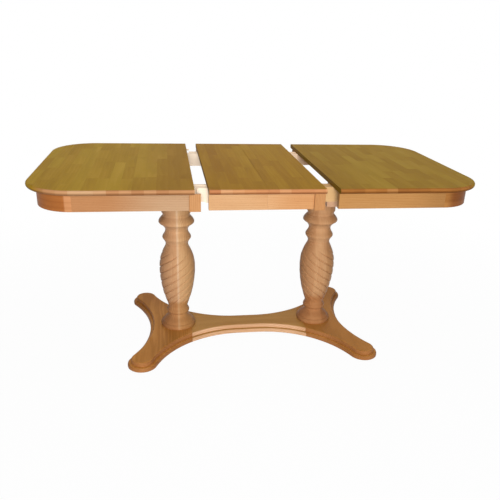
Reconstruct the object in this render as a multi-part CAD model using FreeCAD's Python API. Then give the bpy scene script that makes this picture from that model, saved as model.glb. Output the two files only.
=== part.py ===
# Twin pedestal dining table with a removable folding leaf, in millimetres.
# Origin: centre of the footprint on the floor. +X runs along the table, +Y to its back, +Z up.
import FreeCAD, Part
import math
import os

V = FreeCAD.Vector

# Overall sizes
table_height = 750.0
table_width = 836.0
half_length = 565.0
leaf_length = 404.0
open_gap = 48.0
top_thickness = 18.0
top_corner_radius = 172.0
nosing_radius = 8.5

# Apron
apron_height = 60.0
apron_thickness = 18.0
apron_side_setback = 25.0
apron_end_setback = 35.0
apron_corner_radius = 130.0
apron_inner_setback = 4.0

# Slides: two sliding bars with a fixed rail between them, front and back
bar_height = 54.0
bar_thickness = 17.4
rail_thickness = 17.3
slide_clearance = 0.3
slide_inner_face = 267.0
bar_outer_end = 700.0
left_bar_reach = 252.0
right_bar_reach = 238.0
eased_from = 140.0  # from here to its end a bar's top is a little lower
bar_easing = 0.5
rail_half_length = 420.0
tongue_reach = 200.0
tongue_height = 10.0
tongue_depth = 5.0
stop_travel = 30.5

# Geared equaliser that keeps the two halves in step, low down beside the front slides
gear_y = -214.0
gear_module = 3.0
gear_teeth = 20
gear_backlash = 0.35
rack_inner_end = 48.0
rack_outer_end = 560.0
rack_width = 24.0
rack_height = 20.0
rack_drop = 30.0
rack_land_start = 275.0
toothed_length = 330.0

# Pedestals, with two cross bearers on each; the bearers are thicker over the pedestal
pedestal_x = 305.0
pedestal_bottom = 38.0
pedestal_top = 648.0
inner_bearer = (236.0, 280.0)
outer_bearer = (342.0, 372.0)
bearer_half_width = 310.0
bearer_step = 7.0
bearer_thick_half = 58.0
tie_rod_radius = 6.0
nut_well_radius = 15.0
nut_well_depth = 13.5

# Base board
foot_x = 453.5
foot_y = 279.0
foot_radius = 58.0
waist_half_width = 60.0
straight_half_length = 42.0
end_notch_x = 427.5
base_joint_x = 249.0
glide_height = 4.0
lower_layer_top = 21.0
lower_layer_rounding = 8.0
upper_layer_inset = 14.0
upper_layer_rounding = 6.0

# Small parts
leaf_clearance = 0.3
seam_half_gap = 0.2
dowel_radius = 3.0
dowel_places = (0.0, 310.0)
hinge_radius = 6.0
hinge_depth = 14.0
hinge_places = (-300.0, -100.0, 100.0, 300.0)
hole_clearance = 0.05

# Levels and places worked out from the sizes above
top_underside = table_height - top_thickness
apron_bottom = top_underside - apron_height
bar_bottom = top_underside - bar_height
rail_bottom = bar_bottom - 0.5
half_width = table_width / 2
leaf_edge = leaf_length / 2
inner_edge = leaf_edge + open_gap
outer_edge = inner_edge + half_length
apron_face = half_width - apron_side_setback
apron_end = outer_edge - apron_end_setback
apron_seam_x = apron_end - apron_corner_radius
apron_seam_y = apron_face - apron_corner_radius
top_middle = table_height - top_thickness / 2
rail_inner = slide_inner_face + bar_thickness + slide_clearance
rail_outer = rail_inner + rail_thickness
outer_lane = rail_outer + slide_clearance
tongue_bottom = bar_bottom + 22.3
pitch_radius = gear_module * gear_teeth / 2
bridge_thickness = 17.5
bridge_bottom = rail_bottom - bridge_thickness
bearer_bottom = pedestal_top + bearer_step
rack_top = top_underside - rack_drop
rack_bottom = rack_top - rack_height
pinion_bottom = rack_bottom + 1.0
pinion_height = 18.0


def box(x0, x1, y0, y1, z0, z1):
    low = V(min(x0, x1), min(y0, y1), min(z0, z1))
    return Part.makeBox(abs(x1 - x0), abs(y1 - y0), abs(z1 - z0), low)


def cylinder(radius, start, end):
    way = end.sub(start)
    return Part.makeCylinder(radius, way.Length, start, way)


def flip_x(shape):
    return shape.mirror(V(0, 0, 0), V(1, 0, 0))


def flip_y(shape):
    return shape.mirror(V(0, 0, 0), V(0, 1, 0))


def line(a, b):
    return Part.LineSegment(a, b).toShape()


def arc(a, middle, b):
    return Part.Arc(a, middle, b).toShape()


def plate(edges, bottom, top):
    face = Part.Face(Part.Wire(Part.__sortEdges__(edges)))
    solid = face.extrude(V(0, 0, top - bottom))
    solid.translate(V(0, 0, bottom))
    return solid


def polygon_plate(points, bottom, top):
    closed = points + points[:1]
    return plate([line(a, b) for a, b in zip(closed, closed[1:])], bottom, top)


def round_level_edges(solid, levels, radius, keep=lambda middle: True):
    """Fillets the edges that lie flat at the given levels and that keep() accepts."""
    chosen = []
    for edge in solid.Edges:
        bounds = edge.BoundBox
        flat = bounds.ZLength < 1e-4 and any(abs(bounds.ZMin - z) < 1e-4 for z in levels)
        if flat and keep(bounds.Center):
            chosen.append(edge)
    return solid.makeFillet(radius, chosen)


def on_circle(centre, radius, degrees):
    angle = math.radians(degrees)
    return V(centre.x + radius * math.cos(angle), centre.y + radius * math.sin(angle), centre.z)


# Fasteners: each is one solid, and its hosts are cut a little larger than it

def screw(x, y, bottom, length, radius=2.0, grow=0.0):
    """A wood screw pointing up, with a flat head sunk flush at its bottom end."""
    head_height = 3.0
    head = Part.makeCone(radius * 2 + grow, radius + grow, head_height, V(x, y, bottom))
    shank = cylinder(radius + grow, V(x, y, bottom), V(x, y, bottom + length - 4 + grow))
    tip = Part.makeCone(radius + grow, 0.4, 4, V(x, y, bottom + length - 4 + grow))
    return head.fuse(shank).fuse(tip)


def screw_down(x, y, top, length, radius=2.0, grow=0.0):
    """The same screw pointing down, its head sunk flush at its top end."""
    upright = screw(x, y, -top, length, radius, grow)
    return upright.mirror(V(0, 0, 0), V(0, 0, 1))


def dowel(x0, x1, y, z, radius, grow=0.0):
    low, high = min(x0, x1) - grow, max(x0, x1) + grow
    return cylinder(radius + grow, V(low, y, z), V(high, y, z))


def hexagon(x, y, bottom, height, across_flats, hole_radius):
    corner = across_flats / math.sqrt(3)
    points = [on_circle(V(x, y, 0), corner, 30 + 60 * k) for k in range(6)]
    return polygon_plate(points, bottom, bottom + height).cut(
        cylinder(hole_radius, V(x, y, bottom - 1), V(x, y, bottom + height + 1)))


def washer(x, y, bottom, height, radius, hole_radius):
    disc = cylinder(radius, V(x, y, bottom), V(x, y, bottom + height))
    return disc.cut(cylinder(hole_radius, V(x, y, bottom - 1), V(x, y, bottom + height + 1)))


# Table top

def half_top_plan():
    """Plan of the left half: a straight inner edge, and two rounded corners at its outer end."""
    r = top_corner_radius
    edges = []
    for side in (-1, 1):
        centre = V(-outer_edge + r, side * (half_width - r), 0)
        at_side = V(centre.x, side * half_width, 0)
        at_end = V(-outer_edge, centre.y, 0)
        edges.append(line(V(-inner_edge, side * half_width, 0), at_side))
        edges.append(arc(at_side, on_circle(centre, r, 180 + side * -45), at_end))
    end_y = half_width - r
    edges.append(line(V(-outer_edge, -end_y, 0), V(-outer_edge, end_y, 0)))
    edges.append(line(V(-inner_edge, -half_width, 0), V(-inner_edge, half_width, 0)))
    return edges


def left_panel():
    slab = plate(half_top_plan(), top_underside, table_height)
    return round_level_edges(slab, (top_underside, table_height), nosing_radius,
                             lambda middle: middle.x < -inner_edge - 1)


def leaf_panel():
    """Left half of the folding leaf; its right edge is the seam."""
    bottom = top_underside + leaf_clearance
    slab = box(-leaf_edge, -seam_half_gap, -half_width, half_width, bottom, table_height)
    return round_level_edges(slab, (bottom, table_height), nosing_radius,
                             lambda middle: abs(middle.y) > half_width - 1)


def edge_dowels(edge, outward, grow=0.0):
    """Locating pins set in a panel's edge: 20 mm inside it and 11 mm proud."""
    return [dowel(edge - 20 * outward, edge + 11 * outward, y, top_middle, dowel_radius, grow)
            for y in dowel_places]


def edge_sockets(edge, inward):
    return [dowel(edge - inward, edge + 13 * inward, y, top_middle, dowel_radius + 0.3)
            for y in dowel_places]


# Aprons

def straight_apron(x0, x1, face, top):
    rail = box(x0, x1, -face, -face + apron_thickness, apron_bottom, top)
    edges = [e for e in rail.Edges
             if abs(e.BoundBox.ZMax - apron_bottom) < 1e-4 and e.BoundBox.XLength > apron_thickness]
    return rail.makeFillet(1.5, edges)


def end_apron():
    rail = box(-apron_end, -apron_end + apron_thickness, -apron_seam_y, apron_seam_y,
               apron_bottom, top_underside)
    edges = [e for e in rail.Edges
             if abs(e.BoundBox.ZMax - apron_bottom) < 1e-4 and e.BoundBox.YLength > apron_thickness]
    return rail.makeFillet(1.5, edges)


def corner_apron(thickness=apron_thickness):
    """Quarter ring at the left front corner."""
    centre = V(-apron_seam_x, -apron_seam_y, 0)
    outer = apron_corner_radius
    inner = apron_corner_radius - thickness
    edges = [arc(*[on_circle(centre, outer, a) for a in (180, 225, 270)]),
             arc(*[on_circle(centre, inner, a) for a in (180, 225, 270)])]
    for angle in (180, 270):
        edges.append(line(on_circle(centre, inner, angle), on_circle(centre, outer, angle)))
    return plate(edges, apron_bottom, top_underside)


def joint_block(x0, x1, face, top, relief_from=None):
    """Small block on the front apron beside a leaf joint. Past relief_from the block stands a
    little clear, so that the next apron slides in behind it."""
    block = box(x0, x1, -face - 10, -face, apron_bottom - 1, top)
    if relief_from is not None:
        block = block.cut(box(relief_from, x1 + 1, -face - 0.4, -face, apron_bottom - 2, top + 1))
    uprights = [e for e in block.Edges
                if e.BoundBox.ZLength > 1 and e.BoundBox.YMin < -face - 9]
    return block.makeFillet(1.5, uprights)


def seam_braces():
    """Glue blocks inside the apron seams of the left half."""
    low, high = apron_bottom + 6, top_underside
    inner_face = apron_face - apron_thickness
    inner_end = apron_end - apron_thickness
    side = box(-apron_seam_x - 30, -apron_seam_x + 30, -inner_face, -inner_face + 20, low, high)
    end = box(-inner_end, -inner_end + 10, -apron_seam_y - 30, -apron_seam_y + 30, low, high)
    ring = corner_apron(apron_thickness + 0.2)
    braces = [side.cut(ring), end.cut(ring)]
    return braces + [flip_y(b) for b in braces]


# Slides

def slide_bar(inner_face, tongue_side, reach):
    """Front bar of the left half. Its groove rides on the fixed rail's tongue and is closed at
    its inner end, which stops the half from being pulled off. The top of its free end is eased,
    so that it runs clear under the other half's panel."""
    outer_face = inner_face + bar_thickness
    bar = box(-bar_outer_end, reach, -outer_face, -inner_face, bar_bottom, top_underside)
    depth = tongue_depth + slide_clearance
    groove_wall = outer_face if tongue_side > 0 else inner_face
    groove = box(-bar_outer_end - 1, tongue_reach + stop_travel,
                 -groove_wall, -groove_wall + tongue_side * depth,
                 tongue_bottom - slide_clearance, tongue_bottom + tongue_height + slide_clearance)
    slope = [V(reach + 1, 0, bar_bottom + 31), V(reach + 1, 0, bar_bottom - 1),
             V(reach - 31, 0, bar_bottom - 1)]
    wedge = Part.Face(Part.makePolygon(slope + slope[:1])).extrude(V(0, 2 * half_width, 0))
    wedge.translate(V(0, -half_width, 0))
    easing = box(eased_from, reach + 1, -outer_face - 1, -inner_face + 1,
                 top_underside - bar_easing, top_underside + 1)
    return bar.cut(groove).cut(wedge).cut(easing)


def centre_rail():
    """Front fixed rail, with one tongue for each half's bar."""
    rail = box(-rail_half_length, rail_half_length, -rail_outer, -rail_inner,
               rail_bottom, top_underside - 3)
    left_tongue = box(-rail_half_length, tongue_reach, -rail_inner, -rail_inner + tongue_depth,
                      tongue_bottom, tongue_bottom + tongue_height)
    right_tongue = box(-tongue_reach, rail_half_length, -rail_outer - tongue_depth, -rail_outer,
                       tongue_bottom, tongue_bottom + tongue_height)
    return rail.fuse(left_tongue).fuse(right_tongue)


def bar_screw_places(lane_face, free_side):
    """Screw places of a front bar, in the half of its thickness that has no groove."""
    y = -(lane_face + bar_thickness / 2 - free_side * 2.7)
    return [(-x, y) for x in (inner_edge + 40, inner_edge + 170, inner_edge + 300,
                              bar_outer_end - 20)]


# Equaliser gear

def involute(angle):
    return math.tan(angle) - angle


def pinion():
    pressure = math.radians(20)
    base = pitch_radius * math.cos(pressure)
    tip = pitch_radius + gear_module
    root = pitch_radius - 1.25 * gear_module
    pitch_half = (math.pi * gear_module / 2 - gear_backlash) / (2 * pitch_radius)

    def flank_angle(radius):
        return pitch_half + involute(pressure) - involute(math.acos(min(1.0, base / radius)))

    def at(radius, angle):
        return V(radius * math.cos(angle), radius * math.sin(angle), 0)

    radii = [base + (tip - base) * k / 5 for k in range(6)]
    step = 2 * math.pi / gear_teeth
    edges = []
    for tooth in range(gear_teeth):
        middle = math.pi / 2 + tooth * step
        right = [at(r, middle - flank_angle(r)) for r in radii]
        left = [at(r, middle + flank_angle(r)) for r in radii]
        for side in (right, left):
            flank = Part.BSplineCurve()
            flank.interpolate(side)
            edges.append(flank.toShape())
        root_right = at(root, middle - flank_angle(base))
        root_left = at(root, middle + flank_angle(base))
        next_right = at(root, middle + step - flank_angle(base))
        edges.append(line(root_right, right[0]))
        edges.append(line(left[0], root_left))
        edges.append(arc(right[-1], at(tip, middle), left[-1]))
        edges.append(arc(root_left, at(root, middle + step / 2), next_right))
    wheel = plate(edges, pinion_bottom, pinion_bottom + pinion_height)
    bore = cylinder(5 + hole_clearance, V(0, 0, pinion_bottom - 1),
                    V(0, 0, pinion_bottom + pinion_height + 1))
    wheel = wheel.cut(bore)
    wheel.translate(V(0, gear_y, 0))
    return wheel


def rack(side):
    """Rack of the left half, on the given side of the pinion: a toothed bar, hung from the panel
    by a land along its outer part. A tooth space faces the pinion's middle tooth at X = 0."""
    pitch = math.pi * gear_module
    slope = math.tan(math.radians(20))
    tip_y = pitch_radius - gear_module
    root_y = pitch_radius + 1.25 * gear_module
    pitch_half = (pitch / 2 - gear_backlash) / 2
    tip_half = pitch_half - gear_module * slope
    root_half = pitch_half + 1.25 * gear_module * slope
    back_y = tip_y + rack_width
    points = [V(rack_inner_end, back_y, 0), V(rack_inner_end, root_y, 0)]
    count = int(toothed_length / pitch)
    first = math.floor((rack_inner_end - root_half) / pitch - 0.5) + 0.5
    for k in range(count):
        x = (first - k) * pitch
        points += [V(x + root_half, root_y, 0), V(x + tip_half, tip_y, 0),
                   V(x - tip_half, tip_y, 0), V(x - root_half, root_y, 0)]
    points += [V(-rack_outer_end, root_y, 0), V(-rack_outer_end, back_y, 0)]
    toothed = polygon_plate(points, rack_bottom, rack_top)
    land = box(-rack_outer_end, -rack_land_start, root_y + 0.5, back_y, rack_top, top_underside)
    bar = toothed.fuse(land).removeSplitter()
    bar = bar if side > 0 else flip_y(bar)
    bar.translate(V(0, gear_y, 0))
    return bar


def rack_screw_places(side):
    y = gear_y + side * (pitch_radius - gear_module + rack_width - 10)
    return [(-x, y) for x in (inner_edge + 40, inner_edge + 160, inner_edge + 280)]


# Pedestal, bearer and base

def turned_pedestal(x):
    """A turned post: base ring, cove, bead, long swelling body, two bulbs and a plain head."""
    def spline(*pairs):
        curve = Part.BSplineCurve()
        curve.interpolate([V(r, 0, z) for r, z in pairs])
        return curve.toShape()

    def straight(*pairs):
        points = [V(r, 0, z) for r, z in pairs]
        return [line(a, b) for a, b in zip(points, points[1:])]

    def bulge(start, middle, end):
        return arc(*[V(r, 0, z) for r, z in (start, middle, end)])

    edges = straight((0, pedestal_bottom), (73, pedestal_bottom))
    edges.append(bulge((73, pedestal_bottom), (74.5, 46.5), (68.5, 55.5)))
    edges += straight((68.5, 55.5), (66, 57), (65.5, 59))
    edges.append(spline((65.5, 59), (61.5, 65.5), (54, 72.5), (46, 79.5), (40.5, 87),
                        (39, 94)))
    edges += straight((39, 94), (41, 95.5))
    edges.append(bulge((41, 95.5), (48, 106), (43, 117.5)))
    edges.append(spline((43, 117.5), (41, 128), (42.5, 135), (47.5, 150), (54, 170),
                        (60, 190), (64.6, 210), (68.4, 230), (71.2, 250), (73.6, 272),
                        (74.8, 295), (74.6, 316), (73.2, 334), (70.4, 350), (65.5, 366),
                        (58.5, 384), (51.5, 398), (47.4, 407), (46.6, 412.5)))
    edges += straight((46.6, 412.5), (45.4, 413.5), (45.4, 415), (46.8, 416))
    edges.append(spline((46.8, 416), (48.4, 422.5), (52.5, 430), (57, 436.5), (59.3, 443),
                        (57, 450), (51.6, 458.5), (47.8, 467), (46.6, 475)))
    edges += straight((46.6, 475), (45.8, 476), (45.8, 477.5), (47.2, 478.5))
    edges.append(spline((47.2, 478.5), (50.5, 486), (56.5, 493.5), (63.5, 499.5),
                        (70.5, 504.5), (73.4, 510), (70.5, 518.5), (64, 527), (57.8, 534)))
    edges += straight((57.8, 534), (56.2, 535))
    edges.append(spline((56.2, 535), (55.6, 540), (57, 545.5), (60.6, 551)))
    edges += straight((60.6, 551), (60.6, pedestal_top), (0, pedestal_top), (0, pedestal_bottom))
    face = Part.Face(Part.Wire(Part.__sortEdges__(edges)))
    post = face.revolve(V(0, 0, 0), V(0, 0, 1), 360)
    post = Part.Solid(post.Shells[0]) if post.ShapeType != "Solid" else post
    post.translate(V(x, 0, 0))
    post = post.cut(cylinder(tie_rod_radius + hole_clearance, V(x, 0, 0), V(x, 0, table_height)))
    well_floor = pedestal_top - nut_well_depth
    return post.cut(cylinder(nut_well_radius, V(x, 0, well_floor), V(x, 0, table_height)))


def bearer(x0, x1):
    """Cross board under the slides, drawn on the right."""
    board = box(x0, x1, -bearer_half_width, bearer_half_width, bearer_bottom, rail_bottom)
    board = board.makeFillet(1, [e for e in board.Edges if e.BoundBox.ZLength > 5])
    return board.fuse(box(x0, x1, -bearer_thick_half, bearer_thick_half, pedestal_top,
                          bearer_bottom + 5)).removeSplitter()


def base_plan(inset):
    """Outline of the whole base: four round feet joined by hollow sides, which are straight for
    a little way at the middle of the long sides."""
    r = foot_radius - inset
    waist = waist_half_width - inset
    notch = end_notch_x - inset
    reach = foot_x - straight_half_length
    side_radius = (reach ** 2 + (foot_y - waist) ** 2 - r ** 2) / (2 * (r + foot_y - waist))
    end_radius = (foot_y ** 2 + (foot_x - notch) ** 2 - r ** 2) / (2 * (r + foot_x - notch))
    foot = V(foot_x, -foot_y, 0)
    side_centre = V(straight_half_length, -(waist + side_radius), 0)
    end_centre = V(notch + end_radius, 0, 0)

    def toward(centre):
        way = centre.sub(foot)
        return math.degrees(math.atan2(way.y, way.x))

    to_side, to_end = toward(side_centre), toward(end_centre)
    at_side = on_circle(foot, r, to_side)
    at_end = on_circle(foot, r, to_end)
    outermost = on_circle(foot, r, (to_side + to_end) / 2)
    at_waist = V(straight_half_length, -waist, 0)
    on_side = on_circle(side_centre, side_radius, (90 + to_side + 180) / 2)
    edges = []
    for sx in (-1, 1):
        edges.append(arc(V(sx * at_end.x, at_end.y, 0), V(sx * notch, 0, 0),
                         V(sx * at_end.x, -at_end.y, 0)))
        for sy in (-1, 1):
            for points in ((at_side, outermost, at_end), (at_waist, on_side, at_side)):
                edges.append(arc(*[V(sx * p.x, sy * p.y, 0) for p in points]))
    for sy in (-1, 1):
        edges.append(line(V(-at_waist.x, sy * at_waist.y, 0), V(at_waist.x, sy * at_waist.y, 0)))
    return edges


def base_block():
    """The whole base in one: a rounded lower layer, and a narrower upper layer on it."""
    lower = plate(base_plan(0), glide_height, lower_layer_top)
    lower = lower.makeChamfer(1.5, [e for e in lower.Edges if e.BoundBox.ZMax < glide_height + 1])
    lower = round_level_edges(lower, (lower_layer_top,), lower_layer_rounding)
    upper = plate(base_plan(upper_layer_inset), lower_layer_top, pedestal_bottom)
    upper = round_level_edges(upper, (pedestal_bottom,), upper_layer_rounding)
    return lower.fuse(upper).removeSplitter()


def base_dowels(grow=0.0):
    z = (glide_height + pedestal_bottom) / 2
    return [dowel(side * (base_joint_x - 40), side * (base_joint_x + 40), y, z, 6, grow)
            for side in (-1, 1) for y in (-75, -25, 25, 75)]


def tie_rod_hole(x):
    rod = cylinder(tie_rod_radius + hole_clearance, V(x, 0, -1), V(x, 0, pedestal_bottom + 1))
    return rod.fuse(cylinder(15, V(x, 0, -1), V(x, 0, glide_height + 12)))


def rail_screw_places():
    y = (rail_inner + rail_outer) / 2
    return [(sx * sum(board) / 2, sy * y) for sx in (-1, 1) for sy in (-1, 1)
            for board in (inner_bearer, outer_bearer)]


def bearer_screw_places():
    """Two screws from each right bearer down into its pedestal."""
    return [(sum(board) / 2, side * y) for board, y in ((inner_bearer, 18), (outer_bearer, 14))
            for side in (-1, 1)]


def bridge_screw_places():
    y = (rail_inner + rail_outer) / 2
    return [(x, side * y) for side in (-1, 1) for x in (-35, 35)]


# Assembly

nodes = {}


def add(name, *solids):
    nodes[name] = solids[0] if len(solids) == 1 else Part.makeCompound(list(solids))


def drilled(host, tools):
    for tool in tools:
        host = host.cut(tool)
    return host


def make_base():
    block = base_block()
    z0, z1 = -1, pedestal_bottom + 1
    span = foot_x + foot_radius + 1
    dowel_holes = base_dowels(hole_clearance)
    for name, side in (("left", -1), ("right", 1)):
        cut = box(side * base_joint_x, side * span, -span, span, z0, z1)
        board = drilled(block.common(cut), dowel_holes + [tie_rod_hole(side * pedestal_x)])
        add(name + "_foot_board", board)
    middle = box(-base_joint_x, base_joint_x, -span, span, z0, z1)
    add("stretcher_board", drilled(block.common(middle), dowel_holes))
    add("base_joint_dowels", *base_dowels())
    add("floor_glides", *[round_level_edges(cylinder(20, V(x, y, 0), V(x, y, glide_height)),
                                            (0,), 1.2)
                          for x in (-foot_x, foot_x) for y in (-foot_y, foot_y)])


def make_pedestals():
    rods, nuts, washers, screws = [], [], [], []
    holes = [screw(x, y, bearer_bottom, 62, 2.5, hole_clearance) for x, y in rail_screw_places()]
    fixings = [screw_down(x, y, rail_bottom, 60, 2.5, hole_clearance)
               for x, y in bearer_screw_places()]
    boards = [drilled(bearer(*span), holes + fixings) for span in (inner_bearer, outer_bearer)]
    post = drilled(turned_pedestal(pedestal_x), fixings)
    for name, x, place in (("left", -pedestal_x, flip_x), ("right", pedestal_x, lambda s: s)):
        add(name + "_pedestal", place(post))
        add(name + "_inner_bearer", place(boards[0]))
        add(name + "_outer_bearer", place(boards[1]))
        screws += [place(screw_down(sx, sy, rail_bottom, 60, 2.5))
                   for sx, sy in bearer_screw_places()]
        rods.append(cylinder(tie_rod_radius, V(x, 0, 6), V(x, 0, pedestal_top - 1)))
        bore = tie_rod_radius + hole_clearance
        nuts.append(hexagon(x, 0, 6.5, 7, 19, bore))
        washers.append(washer(x, 0, 14, 2, 12, bore))
        washers.append(washer(x, 0, pedestal_top - nut_well_depth, 2, 12, bore))
        nuts.append(hexagon(x, 0, pedestal_top - nut_well_depth + 2.5, 7, 19, bore))
    add("bearer_screws", *screws)
    add("tie_rods", *rods)
    add("tie_rod_nuts", *nuts)
    add("tie_rod_washers", *washers)


def make_slide_frame():
    places = rail_screw_places()
    bridge_places = bridge_screw_places()
    holes = [screw(x, y, bearer_bottom, 62, 2.5, hole_clearance) for x, y in places]
    holes += [screw(x, y, bridge_bottom, 50, 2.5, hole_clearance) for x, y in bridge_places]
    rail = centre_rail()
    add("front_centre_rail", drilled(rail, holes))
    add("back_centre_rail", drilled(flip_y(rail), holes))
    add("rail_screws", *[screw(x, y, bearer_bottom, 62, 2.5) for x, y in places])
    bridge = box(-60, 60, -rail_outer, rail_outer, bridge_bottom, rail_bottom)
    axle_hole = cylinder(5 + hole_clearance, V(0, gear_y, 600), V(0, gear_y, 700))
    bridge = drilled(bridge, holes + [axle_hole])
    add("gear_bridge", bridge)
    add("bridge_screws", *[screw(x, y, bridge_bottom, 50, 2.5) for x, y in bridge_places])


def make_pinion():
    y = gear_y
    pinion_top = pinion_bottom + pinion_height
    shank = cylinder(5, V(0, y, bridge_bottom), V(0, y, pinion_top + 6.5))
    head = hexagon(0, y, bridge_bottom - 6, 6, 17, 0.5).fuse(
        cylinder(5, V(0, y, bridge_bottom - 6), V(0, y, bridge_bottom)))
    add("pinion_axle", head.fuse(shank).removeSplitter())
    add("axle_spacer", washer(0, y, rail_bottom, pinion_bottom - 0.5 - rail_bottom, 10, 5.05))
    add("axle_nut", hexagon(0, y, pinion_top + 0.5, 5.5, 16, 5.05))
    add("drive_pinion", pinion())


def make_half(name, place, lane, free_side, reach):
    """One sliding half, drawn on the left and passed through place. Its bars run in the lane
    whose inner face is lane, with the groove on the side away from free_side, and reach past
    the middle of the table."""
    is_left = name == "left"
    bar_places = bar_screw_places(lane, free_side)
    bar_places += [(x, -y) for x, y in bar_places]
    rack_side = 1 if is_left else -1
    rack_places = rack_screw_places(rack_side)

    def screws(grow):
        in_bars = [screw(x, y, bar_bottom, 64, 2.0, grow) for x, y in bar_places]
        return in_bars + [screw(x, y, rack_bottom, 61, 2.0, grow) for x, y in rack_places]

    holes = screws(hole_clearance)
    panel = drilled(left_panel(), holes)
    if is_left:
        panel = drilled(panel, edge_dowels(-inner_edge, 1, hole_clearance))
        add("left_locating_dowels", *edge_dowels(-inner_edge, 1))
    else:
        panel = drilled(panel, edge_sockets(-inner_edge, -1))
    add(name + "_panel", place(panel))
    front = straight_apron(-apron_seam_x, -inner_edge - apron_inner_setback, apron_face,
                           top_underside)
    corner = corner_apron()
    bar = drilled(slide_bar(lane, free_side, reach), holes)
    add(name + "_front_apron", place(front))
    add(name + "_back_apron", place(flip_y(front)))
    add(name + "_end_apron", place(end_apron()))
    add(name + "_front_corner_apron", place(corner))
    add(name + "_back_corner_apron", place(flip_y(corner)))
    add(name + "_seam_braces", *[place(b) for b in seam_braces()])
    add(name + "_front_slide_bar", place(bar))
    add(name + "_back_slide_bar", place(flip_y(bar)))
    add(name + "_rack", place(drilled(rack(rack_side), holes)))
    add(name + "_screws", *[place(s) for s in screws(0.0)])
    if is_left:
        add("left_joint_block", joint_block(-inner_edge - 18, -inner_edge + 21, apron_face,
                                            top_underside, -inner_edge - 2))


def make_leaf():
    face = apron_face - 0.4
    top = top_underside + leaf_clearance

    def cups(grow):
        barrels = []
        for y in hinge_places:
            barrel = dowel(-hinge_depth, -seam_half_gap, y, top_middle, hinge_radius)
            slot = box(-hinge_depth + 3, 0, y - 2, y + 2, top_middle - 4, top_middle + 4)
            barrels.append(dowel(-hinge_depth, 0, y, top_middle, hinge_radius, grow) if grow
                           else barrel.cut(slot))
        return barrels

    panel = drilled(leaf_panel(), cups(hole_clearance))
    apron = straight_apron(-leaf_edge, -seam_half_gap, face, top)
    for name, place in (("left", lambda s: s), ("right", flip_x)):
        if name == "left":
            board = drilled(panel, edge_sockets(-leaf_edge, 1))
        else:
            board = drilled(panel, edge_dowels(-leaf_edge, -1, hole_clearance))
        add("leaf_" + name + "_panel", place(board))
        add("leaf_" + name + "_front_apron", place(apron))
        add("leaf_" + name + "_back_apron", place(flip_y(apron)))
        add("leaf_" + name + "_hinge_cups", *[place(c) for c in cups(0.0)])
    add("leaf_locating_dowels", *edge_dowels(leaf_edge, 1))
    block = joint_block(leaf_edge - 38, leaf_edge, face, top)
    add("leaf_joint_blocks", block, flip_y(block))


make_base()
make_pedestals()
make_slide_frame()
make_pinion()
make_half("left", lambda shape: shape, slide_inner_face, 1, left_bar_reach)
make_half("right", flip_x, outer_lane, -1, right_bar_reach)
make_leaf()

os.makedirs("parts", exist_ok=True)
for name, shape in nodes.items():
    shape.exportStep("parts/" + name + ".step")
print(len(nodes), "nodes written")
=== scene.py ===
import math

import bmesh
import bpy
from mathutils import Matrix, Vector


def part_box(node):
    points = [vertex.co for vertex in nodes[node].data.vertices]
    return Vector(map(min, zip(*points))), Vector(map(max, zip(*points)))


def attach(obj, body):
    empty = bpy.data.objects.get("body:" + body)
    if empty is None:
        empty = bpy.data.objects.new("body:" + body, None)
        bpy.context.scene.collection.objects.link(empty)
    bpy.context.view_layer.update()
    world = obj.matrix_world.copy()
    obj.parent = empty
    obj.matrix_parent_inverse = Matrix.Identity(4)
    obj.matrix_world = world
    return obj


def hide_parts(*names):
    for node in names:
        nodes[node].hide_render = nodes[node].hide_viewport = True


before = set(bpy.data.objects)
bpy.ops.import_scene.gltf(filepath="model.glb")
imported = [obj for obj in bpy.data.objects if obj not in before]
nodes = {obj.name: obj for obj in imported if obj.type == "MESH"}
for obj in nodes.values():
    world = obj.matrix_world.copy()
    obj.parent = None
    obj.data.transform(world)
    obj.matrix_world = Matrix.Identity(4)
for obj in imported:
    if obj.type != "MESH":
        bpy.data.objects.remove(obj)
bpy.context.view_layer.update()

mm = 0.001


# camera, from the left of the table's middle and a little above it
viewPoint = {
    "place": (-0.3425, -2.2239, 1.2351),
    "yaw": 9.555, "pitch": -22.496, "roll": 2.098,  # degrees
    "lens": 40.41,
    "shift": (-0.0111, 0.0306),
}


def makeCamera():
    yaw, pitch, roll = (math.radians(viewPoint[key]) for key in ("yaw", "pitch", "roll"))
    ahead = Vector((math.sin(yaw) * math.cos(pitch), math.cos(yaw) * math.cos(pitch),
                    math.sin(pitch)))
    right = Vector((math.cos(yaw), -math.sin(yaw), 0))
    up = right.cross(ahead)
    tiltedRight = right * math.cos(roll) + up * math.sin(roll)
    tiltedUp = up * math.cos(roll) - right * math.sin(roll)
    bpy.ops.object.camera_add(location=viewPoint["place"])
    camera = bpy.context.object
    turn = Matrix((tiltedRight, tiltedUp, -ahead)).transposed()
    camera.rotation_euler = turn.to_euler()
    camera.data.lens = viewPoint["lens"]
    camera.data.shift_x, camera.data.shift_y = viewPoint["shift"]
    bpy.context.scene.camera = camera


makeCamera()
print("camera ready")


# small tools

def fromHex(code):
    channels = [int(code[k:k + 2], 16) / 255 for k in (1, 3, 5)]
    return [c / 12.92 if c <= 0.04045 else ((c + 0.055) / 1.055) ** 2.4 for c in channels] + [1]


def addNode(tree, kind, settings=None, inputs=None, stops=()):
    node = tree.nodes.new(kind)
    for key, value in (settings or {}).items():
        setattr(node, key, value)
    for key, value in (inputs or {}).items():
        if isinstance(value, bpy.types.NodeSocket):
            tree.links.new(value, node.inputs[key])
        else:
            node.inputs[key].default_value = value
    for k, (place, code) in enumerate(stops):
        marks = node.color_ramp.elements
        mark = marks[k] if k < len(marks) else marks.new(place)
        mark.position = place
        mark.color = fromHex(code)
    return node


def near(a, b, tolerance=0.05 * mm):
    return abs(a - b) < tolerance


def activate(piece):
    bpy.ops.object.select_all(action="DESELECT")
    piece.select_set(True)
    bpy.context.view_layer.objects.active = piece


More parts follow.
